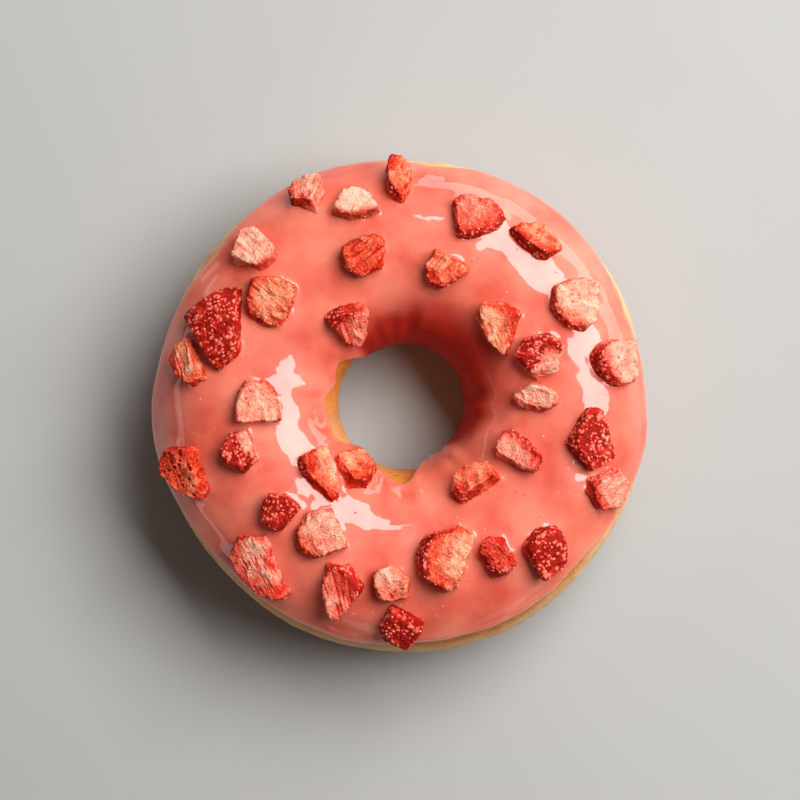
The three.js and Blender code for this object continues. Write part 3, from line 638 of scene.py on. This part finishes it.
@functools.cache
def top_heavy_ball(cuts):
    """The ball that a piece is made from, with more of its points on top."""
    ways, faces = ball(cuts)
    ways = ways + np.array([0.0, 0.0, TOP_SHARE])
    return ways / np.linalg.norm(ways, axis=1, keepdims=True), faces


def normals_of(points, faces):
    corners = points[faces]
    face_normals = np.cross(corners[:, 1] - corners[:, 0], corners[:, 2] - corners[:, 0])
    normals = np.zeros_like(points)
    for corner in range(3):
        np.add.at(normals, faces[:, corner], face_normals)
    return normals / np.linalg.norm(normals, axis=1, keepdims=True)


def cells_at(points, size, shift):
    """How far each point is from the middles of its own grain and of the next, as shares of a grain."""
    nearest = []
    for point in (points / size + shift).tolist():
        bent = [p + CELL_BEND * b for p, b in zip(point, noise.noise_vector(point))]
        nearest.append(noise.voronoi(bent)[0][:2])
    return np.array(nearest).T


def spread_spots(points, allowed, spacing, seed):
    """Points chosen at random among those allowed, none nearer to another than the spacing."""
    chosen = []
    for i in np.random.default_rng(seed).permutation(np.flatnonzero(allowed)):
        if all(np.linalg.norm(points[i] - points[j]) > spacing for j in chosen):
            chosen.append(i)
    return np.array(chosen, dtype=int)


def dimples_at(points, spots):
    if not len(spots):
        return np.zeros(len(points))
    away = np.min(np.linalg.norm(points[:, None] - points[spots], axis=2), axis=1)
    return np.exp(-((away / DIMPLE_WIDTH) ** 2))


class Surface:
    """A piece's rough form, and the marks on it that its relief and colours come from."""

    def __init__(self, fruit, ways, faces):
        self.fruit = fruit
        self.shift = SHIFT_STEP * fruit.index
        self.points, self.edge = fruit.rough_form(ways, self.shift)
        self.normals = normals_of(self.points, faces)
        self.depth = SKIN_BEND - np.linalg.norm(self.points - fruit.skin_centre, axis=1)
        self.upward = smooth_step(self.normals[:, 2], *UPWARD_ENDS)
        self.grain = self.noise(*GRAIN)
        self.lumps = layered(self.points, LUMPS, self.shift)
        self.torn = self.edge * self.noise(*TEARS)
        self.folds = np.clip(1 - FOLD_SHARPNESS * np.abs(self.noise(*FOLDS)), 0.0, 1.0) - 0.5
        self.veins = np.exp(-((self.noise(*VEINS) / VEIN_WIDTH) ** 2))
        self.bumps = 1 - smooth_step(self.cells(*BUMPS)[0], *BUMP_ENDS)
        self.skin = self.find_skin()
        self.pores = self.find_pores()
        self.fibres = self.find_fibres()
        self.pale = self.find_pale()
        self.crevices = self.find_crevices()
        on_skin = (self.skin > SEEDS_ON_SKIN) & (self.points[:, 2] > SEEDS_ABOVE)
        self.spots = spread_spots(self.points, on_skin, SEED_SPACING, fruit.index)
        self.dimples = dimples_at(self.points, self.spots)

    def noise(self, size, shift):
        return noise_at(self.points, size, self.shift + shift)

    def cells(self, size, shift):
        return cells_at(self.points, size, self.shift + shift)

    def find_skin(self):
        """1 where the berry's skin is left on, 0 on a cut."""
        cover = self.upward * self.fruit.cover + (1 - self.upward) * self.fruit.side_cover
        ragged = layered(self.points, RAGGED, self.shift)
        ragged = ragged * (RAGGED_LEAST + RAGGED_BY_COVER * np.abs(cover))
        return smooth_step(cover + ragged - self.depth, *SKIN_ENDS)

    def find_pores(self):
        pits = self.fruit.pits
        width = PORE_WIDTH + PORE_WIDTH_BY_PITS * pits
        pores = 1 - smooth_step(self.cells(*PORES)[0], PORE_CORE, width)
        return pores * smooth_step(self.noise(*PORE_PATCHES) + MORE_PORES_BY_PITS * pits, *PORE_PATCH_ENDS)

    def find_fibres(self):
        """1 in the bottom of the fine furrows that run along the fibres of a cut, 0 between them."""
        run = facing(self.fruit.furrow_turn, 0)
        side = np.cross([0, 0, 1.0], run)
        across, along = self.points @ side / FIBRE_WIDTH, self.points @ run / FIBRE_LENGTH
        laid = np.stack([across, along, self.points[:, 2] / FIBRE_HEIGHT], axis=1)
        return smooth_step(layered(laid, FIBRE_NOISE, self.shift), *FIBRE_ENDS)

    def find_pale(self):
        """How pale the flesh is: red beside the skin and paler with the depth from it."""
        fading = smooth_step(self.depth + PALE_BY_LUMPS * self.lumps, PALE_FROM, self.fruit.fade)
        pale = PALE_BY_SKIN + (self.fruit.pale - PALE_BY_SKIN) * fading
        pale += -WALL_RED * (1 - self.upward) - VEIN_RED * self.veins
        return pale + FOLD_PALE * self.folds + EDGE_PALE * self.edge

    def find_crevices(self):
        """1 between the grains where the flesh crumbles most: on walls, by edges and where it is red."""
        nearest, next_nearest = self.cells(*GRAINS)
        crumbly = CRUMBLY_LEAST + self.edge + CRUMBLY_BY_WALL * (1 - self.upward)
        crumbly = np.clip(crumbly + CRUMBLY_BY_RED * (CRUMBLY_RED_FROM - self.pale), *CRUMBLY_LIMITS)
        crumbly *= smooth_step(self.noise(*CRUMBLY_PATCHES), *CRUMBLY_ENDS)
        return crumbly * (1 - smooth_step(next_nearest - nearest, *CREVICE_ENDS))

    def relief(self):
        flesh = (FLESH_LUMP_HEIGHT - FLATTER_ON_TOP * self.upward) * self.lumps
        flesh += FLESH_GRAIN_HEIGHT * self.grain - CREVICE_DEPTH * self.crevices - VEIN_DEPTH * self.veins
        flesh += FOLD_HEIGHT * self.folds + TORN_HEIGHT * self.torn
        flesh -= self.fruit.furrows * self.fibres + (PORE_DEPTH + self.fruit.pits) * self.pores
        skin = SKIN_BUMP_HEIGHT * self.bumps + SKIN_LUMP_HEIGHT * self.lumps
        skin += SKIN_GRAIN_HEIGHT * self.grain - DIMPLE_DEPTH * self.dimples + TORN_HEIGHT / 2 * self.torn
        return flesh * (1 - self.skin) + skin * self.skin

    # Painted shade: how much darker red the flesh is painted in its crevices, furrows and pores.
    def shade_in_hollows(self):
        furrowed = self.fibres * min(1.0, self.fruit.furrows / DEEP_FURROW)
        pitted = self.pores * min(1.0, PORE_SHADE + PORE_SHADE_BY_PITS * self.fruit.pits)
        return np.maximum.reduce([self.crevices, furrowed, pitted])

    def frosted_and_highlit_bumps(self):
        """The bumps of the skin, palest in patches and along edges, with none in a seed's dimple. Their pale
        tips are partly frost and partly painted highlights.
        """
        frost_and_highlight = smooth_step(self.noise(*FROST_AND_HIGHLIGHT_PATCHES) + FROST_AND_HIGHLIGHT_BY_EDGE * self.edge, *FROST_AND_HIGHLIGHT_ENDS)
        return self.bumps * (1 - self.dimples) * (FROST_AND_HIGHLIGHT_LEAST + (1 - FROST_AND_HIGHLIGHT_LEAST) * frost_and_highlight)


def make_fruit(fruit):
    """The dressed piece, whose seeds' places are kept for make_seeds."""
    cuts = int(round(FIRST_BALL_EDGE * fruit.size / VERTEX_SPACING))
    ways, faces = top_heavy_ball(cuts)
    surface = Surface(fruit, ways, faces)
    formed = surface.points + surface.normals * surface.relief()[:, None]
    fruit.seeds, fruit.seed_ways = formed[surface.spots], surface.normals[surface.spots]
    raised = raise_to_seat(fruit.to_place(formed), fruit.axes[2])
    piece = mesh_object(f"berry_{fruit.index + 1:02d}", raised, faces)
    set_values(piece, "pale", surface.pale)
    set_values(piece, "skin", surface.skin)
    set_values(piece, "hollow_shade", surface.shade_in_hollows())
    # The bump tips' paleness, partly frost and partly painted highlights.
    set_values(piece, "bump", surface.frosted_and_highlit_bumps())
    return piece


# Seeds and crumbs. A draw is a seed of their random numbers, and a range is where one of them may lie.

SEED_CUTS = 2
SEED_DRAW = 5
SEED_SIZE = (0.28, 0.17, 0.12)
SEED_TAPER = 0.3
SEED_RANGE = (0.75, 1.15)
SEED_LIFT = 0.04
CRUMB_CUTS = 1
CRUMB_DRAW = 17
CRUMBS = 150
CRUMBS_WITHIN = (17.5, 43.5)
CRUMB_SCATTER = 4.5
CRUMB_RANGE = (0.08, 0.24)
CRUMB_CORNER_RANGE = (0.6, 1.3)
CRUMB_STRETCH_RANGE = (0.6, 1.2)
BIG_CRUMB_SHARE = 0.06
BIG_CRUMB_GROWTH = 1.2


def joined_object(name, copies, faces, smooth=True):
    """One mesh of copies of a shape that all have the same faces."""
    every = np.concatenate([faces + i * len(copy) for i, copy in enumerate(copies)])
    return mesh_object(name, np.concatenate(copies), every, smooth)


def make_seeds(fruits):
    ways, faces = ball(SEED_CUTS)
    tear = ways * np.array(SEED_SIZE) * (1.0 - SEED_TAPER * ways[:, :1])
    rng = np.random.default_rng(SEED_DRAW)
    seeds = []
    for fruit in fruits:
        for spot, out in zip(fruit.seeds, fruit.seed_ways):
            aim = np.cross(out, rng.normal(size=3))
            aim /= np.linalg.norm(aim)
            turned = tear @ np.stack([aim, np.cross(out, aim), out]) * rng.uniform(*SEED_RANGE)
            seeds.append(fruit.to_place(spot + SEED_LIFT * out + turned))
    return joined_object("seeds", seeds, faces)


def make_crumbs(fruits):
    ways, faces = ball(CRUMB_CUTS)
    rng = np.random.default_rng(CRUMB_DRAW)
    crumbs = []
    while len(crumbs) < CRUMBS:
        fruit = fruits[rng.integers(len(fruits))]
        spot = fruit.middle[:2] + rng.normal(scale=CRUMB_SCATTER, size=2) - np.array(RING_CENTRE)
        if not CRUMBS_WITHIN[0] < np.hypot(*spot) < CRUMBS_WITHIN[1]:
            continue
        size = rng.uniform(*CRUMB_RANGE) * (1.0 + BIG_CRUMB_GROWTH * (rng.random() < BIG_CRUMB_SHARE))
        corners = rng.uniform(*CRUMB_CORNER_RANGE, (len(ways), 1))
        shape = ways * corners * rng.uniform(*CRUMB_STRETCH_RANGE, 3)
        crumbs.append(seat_point(*seat_of(spot, 0.0)) + size * shape)
    return joined_object("crumbs", crumbs, faces, smooth=False)


# Materials, which are in metres. A shader's noise is its bumps in a metre and its detail. A spread is the
# ends of a value and, unless they become 0 and 1, what they become.

MIX_FIRST = 6
MIX_SECOND = 7
MIX_RESULT = 2


class Shader:
    """A material's nodes, made by short calls."""

    def __init__(self, name):
        self.material = bpy.data.materials.new(name)
        self.material.use_nodes = True
        self.tree = self.material.node_tree
        self.surface = self.tree.nodes["Principled BSDF"]

    def node(self, kind, values=(), **settings):
        node = self.tree.nodes.new(kind)
        for name, value in settings.items():
            setattr(node, name, value)
        for name, value in values:
            self.put(node.inputs[name], value)
        return node

    def put(self, socket, value):
        if isinstance(value, bpy.types.NodeSocket):
            self.tree.links.new(value, socket)
        else:
            socket.default_value = value

    def set(self, **values):
        for name, value in values.items():
            self.put(self.surface.inputs[name.replace("_", " ")], value)

    def attribute(self, name):
        return self.node("ShaderNodeAttribute", attribute_name=name).outputs["Fac"]

    def noise(self, vector, scale, detail):
        values = (("Vector", vector), ("Scale", scale), ("Detail", detail))
        return self.node("ShaderNodeTexNoise", values).outputs["Fac"]

    def cells(self, vector, scale):
        values = (("Vector", vector), ("Scale", scale))
        return self.node("ShaderNodeTexVoronoi", values).outputs["Distance"]

    def place(self):
        return self.node("ShaderNodeTexCoord").outputs["Object"]

    def math(self, operation, first, second):
        return self.node("ShaderNodeMath", ((0, first), (1, second)), operation=operation).outputs[0]

    def spread(self, value, low, high, to_low=0.0, to_high=1.0):
        ends = (("From Min", low), ("From Max", high), ("To Min", to_low), ("To Max", to_high))
        return self.node("ShaderNodeMapRange", (("Value", value), *ends)).outputs["Result"]

    def mix(self, share, first, second):
        values = (("Factor", share), (MIX_FIRST, first), (MIX_SECOND, second))
        return self.node("ShaderNodeMix", values, data_type="RGBA").outputs[MIX_RESULT]

    def ramp(self, value, stops):
        node = self.node("ShaderNodeValToRGB", (("Fac", value),))
        while len(node.color_ramp.elements) < len(stops):
            node.color_ramp.elements.new(0.5)
        for element, (position, colour) in zip(node.color_ramp.elements, stops):
            element.position = position
            element.color = rgba(colour)
        return node.outputs["Color"]

    def bump(self, height, distance):
        return self.node("ShaderNodeBump", (("Height", height), ("Distance", distance))).outputs["Normal"]


def rgba(colour):
    return (*colour, 1.0)


CRUST_BROWN = (0.46, 0.125, 0.015)
CRUST_GOLD = (0.76, 0.238, 0.019)
BELT_PALE = (0.95, 0.56, 0.265)
BELT_TAN = (0.83, 0.345, 0.105)
CRUST_BLOTCHES = (260.0, 3.0)
CRUST_GRAIN = (1500.0, 5.0)
GOLDEN_BY_BLOTCHES = (0.3, 0.7)
GOLDEN_BY_GRAIN = (0.3, 0.7, -0.25, 0.25)
GOLDEN_BY_LOWNESS = (0.0, 1.0, 0.25, -0.35)
TAN_BY_BLOTCHES = (0.35, 0.8)
CRUST_ROUGHNESS = (0.3, 0.7, 0.5, 0.75)
CRUST_BUMP = 0.00035


def crust_material():
    shader = Shader("crust")
    place = shader.place()
    blotches = shader.noise(place, *CRUST_BLOTCHES)
    grain = shader.noise(place, *CRUST_GRAIN)
    high = shader.spread(shader.attribute("low"), *GOLDEN_BY_LOWNESS)
    golden = shader.math("ADD", shader.spread(blotches, *GOLDEN_BY_BLOTCHES), high)
    golden = shader.math("ADD", golden, shader.spread(grain, *GOLDEN_BY_GRAIN))
    brown = shader.mix(golden, rgba(CRUST_BROWN), rgba(CRUST_GOLD))
    pale = shader.mix(shader.spread(blotches, *TAN_BY_BLOTCHES), rgba(BELT_PALE), rgba(BELT_TAN))
    shader.set(Base_Color=shader.mix(shader.attribute("belt"), brown, pale))
    shader.set(Roughness=shader.spread(grain, *CRUST_ROUGHNESS))
    shader.set(Subsurface_Weight=0.15, Subsurface_Scale=0.001)
    shader.set(Normal=shader.bump(grain, CRUST_BUMP))
    return shader.material


ICING_PINK = (0.9, 0.228, 0.146)
ICING_DEEP = (0.74, 0.1, 0.056)
# The dark red of pooled icing, which also paints the shade on the hole's wall.
ICING_POOLED_SHADE = (0.43, 0.012, 0.003)
ICING_THIN = (0.9, 0.31, 0.19)
ICING_MOTTLE = (120.0, 4.0)
ICING_FINE = (900.0, 2.0)
DEEP_BY_MOTTLE = (0.35, 0.7)
PALE_BY_THINNESS = (0.0, 1.0, 0.0, 0.7)
ICING_ROUGHNESS = (0.0, 1.0, 0.45, 0.75)
ICING_COAT = (0.0, 1.0, 1.0, 0.05)
ICING_BUMP = 0.00002


def icing_material():
    shader = Shader("icing")
    place = shader.place()
    mottle = shader.noise(place, *ICING_MOTTLE)
    fine = shader.noise(place, *ICING_FINE)
    pool_and_shade = shader.attribute("pool_and_shade")
    thin = shader.spread(shader.attribute("thin"), *PALE_BY_THINNESS)
    base = shader.mix(shader.spread(mottle, *DEEP_BY_MOTTLE), rgba(ICING_PINK), rgba(ICING_DEEP))
    base = shader.mix(thin, base, rgba(ICING_THIN))
    # The pool's dark red is partly pooled icing and partly painted shade in the hole.
    shader.set(Base_Color=shader.mix(pool_and_shade, base, rgba(ICING_POOLED_SHADE)))
    shader.set(Roughness=shader.spread(pool_and_shade, *ICING_ROUGHNESS), Specular_IOR_Level=0.35)
    shader.set(Coat_Weight=shader.spread(pool_and_shade, *ICING_COAT), Coat_Roughness=0.03)
    shader.set(Subsurface_Weight=0.4, Subsurface_Scale=0.002, Subsurface_Radius=(1.0, 0.25, 0.12))
    shader.set(Normal=shader.bump(fine, ICING_BUMP))
    return shader.material


# The flesh's colours, from beside the skin and in hollows, whose darker red is painted shade, to the palest,
# and the skin's, from between its bumps to their tips, which are pale partly with frost and partly with
# painted highlights.
FLESH = {
    "strawberry_pale": ((0.62, 0.07, 0.03), (0.9, 0.18, 0.11), (0.97, 0.36, 0.24), (0.99, 0.54, 0.39)),
    "strawberry_pink": ((0.55, 0.022, 0.01), (0.86, 0.11, 0.065), (0.94, 0.28, 0.19), (0.96, 0.47, 0.34)),
    "strawberry_orange": ((0.55, 0.02, 0.006), (0.87, 0.095, 0.04), (0.94, 0.26, 0.14), (0.96, 0.46, 0.27)),
    "strawberry_dark": ((0.5, 0.014, 0.005), (0.82, 0.08, 0.04), (0.93, 0.27, 0.18), (0.96, 0.48, 0.35)),
}
FLESH_STOPS = (0.0, 0.35, 0.7, 1.0)
# The skin's colours, from deep red between its bumps to tips pale partly with frost and partly with painted
# highlights.
SKIN = ((0.0, (0.33, 0.005, 0.001)), (0.24, (0.64, 0.02, 0.008)), (0.54, (0.92, 0.22, 0.145)))
FLESH_GRAIN = (2600.0, 3.0)
FLESH_GRANULES = 2600.0
FLESH_PATCHES = (450.0, 3.0)
PALE_BY_PATCHES = (0.3, 0.7, -0.2, 0.18)
PALE_BY_GRAIN = (0.3, 0.7, -0.08, 0.08)
PALE_BY_GRANULES = (0.1, 0.7, 0.08, -0.14)
# How much redder the hollows are painted, as painted shade.
SHADE_BY_HOLLOW = (0.1, 1.0, 0.0, 0.6)
TIP_BY_PATCHES = (0.35, 0.65, -0.25, 0.25)
FRUIT_ROUGHNESS = (0.0, 1.0, 0.85, 0.55)
FRUIT_BUMP = 0.00015


def flesh_material(slot):
    shader = Shader(slot)
    place = shader.place()
    grain = shader.noise(place, *FLESH_GRAIN)
    granules = shader.cells(place, FLESH_GRANULES)
    patches = shader.noise(place, *FLESH_PATCHES)
    pale = shader.math("ADD", shader.attribute("pale"), shader.spread(patches, *PALE_BY_PATCHES))
    pale = shader.math("ADD", pale, shader.spread(grain, *PALE_BY_GRAIN))
    pale = shader.math("ADD", pale, shader.spread(granules, *PALE_BY_GRANULES))
    # Painted shade: the flesh is painted darker red in its hollows.
    pale = shader.math("SUBTRACT", pale, shader.spread(shader.attribute("hollow_shade"), *SHADE_BY_HOLLOW))
    flesh = shader.ramp(pale, tuple(zip(FLESH_STOPS, FLESH[slot])))
    # The pale tips of the skin's bumps are partly frost and partly painted highlights.
    tip = shader.math("ADD", shader.attribute("bump"), shader.spread(patches, *TIP_BY_PATCHES))
    on_skin = shader.attribute("skin")
    shader.set(Base_Color=shader.mix(on_skin, flesh, shader.ramp(tip, SKIN)))
    shader.set(Roughness=shader.spread(on_skin, *FRUIT_ROUGHNESS), Specular_IOR_Level=0.15)
    shader.set(Subsurface_Weight=0.15, Subsurface_Scale=0.0005, Subsurface_Radius=(1.0, 0.3, 0.2))
    shader.set(Normal=shader.bump(shader.math("SUBTRACT", grain, granules), FRUIT_BUMP))
    return shader.material


SEED_SHADES = (700.0, 3.0)
SEED_COLOURS = ((0.35, (0.8, 0.2, 0.13)), (0.65, (0.95, 0.4, 0.28)))
CRUMB_SHADES = (300.0, 3.0)
CRUMB_COLOURS = ((0.4, (0.75, 0.13, 0.08)), (0.6, (0.9, 0.4, 0.28)))


def shaded_material(name, shades, colours, roughness):
    shader = Shader(name)
    shader.set(Base_Color=shader.ramp(shader.noise(shader.place(), *shades), colours), Roughness=roughness)
    return shader.material


# The studio. The lights and the camera's clip start are in metres, and a low light is its azimuth, its size
# and its watts.

CAMERA_HEIGHT = 800.0
CAMERA_OVER = (-0.08, 0.97)
CAMERA_CLIP_START = 0.01
FRAME_WIDTH = 155.0
SENSOR = 36.0
SOFTBOX_AZIMUTH = 34.0
SOFTBOX_LIFT = 56.0
SOFTBOX_DISTANCE = 0.75
SOFTBOX_SIZE = (0.66, 0.44)
SOFTBOX_WATTS = 8.5
LOW_LIFT = 11.5
LOW_DISTANCE = 0.8
LOW_LIGHTS = ((50.0, (1.15, 0.26), 3.4), (186.0, (1.3, 0.12), 0.62), (290.0, (1.1, 0.1), 0.24))
FILL = 0.06
FILL_COLOUR = (1.0, 0.97, 0.94)
FLOOR_REACH = 2000.0
FLOOR_COLOUR = (0.46, 0.455, 0.44)


def add_camera():
    data = bpy.data.cameras.new("camera")
    data.sensor_width = SENSOR
    data.lens = SENSOR * (CAMERA_HEIGHT - MIDDLE_HEIGHT) / FRAME_WIDTH
    data.clip_start = CAMERA_CLIP_START
    camera = bpy.data.objects.new("camera", data)
    camera.location = (CAMERA_OVER[0] * MM, CAMERA_OVER[1] * MM, CAMERA_HEIGHT * MM)
    bpy.context.scene.collection.objects.link(camera)
    bpy.context.scene.camera = camera


def add_softbox(name, azimuth, lift, distance, size, watts):
    data = bpy.data.lights.new(name, "AREA")
    data.shape = "RECTANGLE"
    data.size, data.size_y = size
    data.energy = watts
    light = bpy.data.objects.new(name, data)
    light.location = distance * facing(azimuth, lift)
    light.rotation_euler = (np.radians(90.0 - lift), 0.0, np.radians(azimuth + 90.0))
    bpy.context.scene.collection.objects.link(light)


def add_world():
    world = bpy.data.worlds.new("studio")
    world.use_nodes = True
    background = world.node_tree.nodes["Background"]
    background.inputs["Color"].default_value = rgba(FILL_COLOUR)
    background.inputs["Strength"].default_value = FILL
    bpy.context.scene.world = world


def add_floor():
    corners = np.array([(-1, -1, 0), (1, -1, 0), (1, 1, 0), (-1, 1, 0)], dtype=float) * FLOOR_REACH
    floor = mesh_object("floor", corners, np.array([[0, 1, 2, 3]]), smooth=False)
    shader = Shader("floor")
    shader.set(Base_Color=rgba(FLOOR_COLOUR), Roughness=0.8)
    floor.data.materials.append(shader.material)


# Putting it together

EVEN_BALL_CUTS = 20


def search_tree(pieces):
    """The pieces' surfaces in millimetres, for finding the nearest point on them."""
    whole = bmesh.new()
    for piece in pieces:
        whole.from_mesh(piece.data)
    bmesh.ops.scale(whole, vec=(1 / MM, 1 / MM, 1 / MM), verts=whole.verts)
    tree = BVHTree.FromBMesh(whole)
    whole.free()
    return tree


def dress(piece, material, node=None):
    piece.data.materials.append(material)
    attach(piece, "root")
    if node:
        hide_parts(node)


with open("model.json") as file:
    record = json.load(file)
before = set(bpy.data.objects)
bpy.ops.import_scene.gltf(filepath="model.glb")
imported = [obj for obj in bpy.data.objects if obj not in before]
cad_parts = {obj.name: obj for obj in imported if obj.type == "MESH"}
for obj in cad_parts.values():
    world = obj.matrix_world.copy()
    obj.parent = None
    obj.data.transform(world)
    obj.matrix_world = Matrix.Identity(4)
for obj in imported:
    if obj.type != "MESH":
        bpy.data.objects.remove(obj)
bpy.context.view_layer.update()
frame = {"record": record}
slots = {part["node"]: part["material_slot"] for part in frame["record"]["subparts"]}

# Vector noise takes its offsets from the clock unless it is seeded.
noise.seed_set(NOISE_DRAW)
even_ways = ball(EVEN_BALL_CUTS)[0]
fruits = [Fruit(i, row, even_ways) for i, row in enumerate(PIECES)]
berries = [make_fruit(fruit) for fruit in fruits]
flesh = {slot: flesh_material(slot) for slot in FLESH}
for fruit, berry in zip(fruits, berries):
    node = f"strawberry_{fruit.index + 1:02d}"
    dress(berry, flesh[slots[node]], node)

dress(make_dough(), crust_material(), "dough")
dress(make_icing(search_tree(berries)), icing_material(), "icing")
dress(make_seeds(fruits), shaded_material("seed", SEED_SHADES, SEED_COLOURS, 0.5))
dress(make_crumbs(fruits), shaded_material("crumb", CRUMB_SHADES, CRUMB_COLOURS, 0.8))

bpy.context.scene.view_settings.view_transform = "Standard"
add_camera()
add_softbox("softbox", SOFTBOX_AZIMUTH, SOFTBOX_LIFT, SOFTBOX_DISTANCE, SOFTBOX_SIZE, SOFTBOX_WATTS)
for azimuth, size, watts in LOW_LIGHTS:
    add_softbox("low softbox", azimuth, LOW_LIFT, LOW_DISTANCE, size, watts)
add_world()
add_floor()
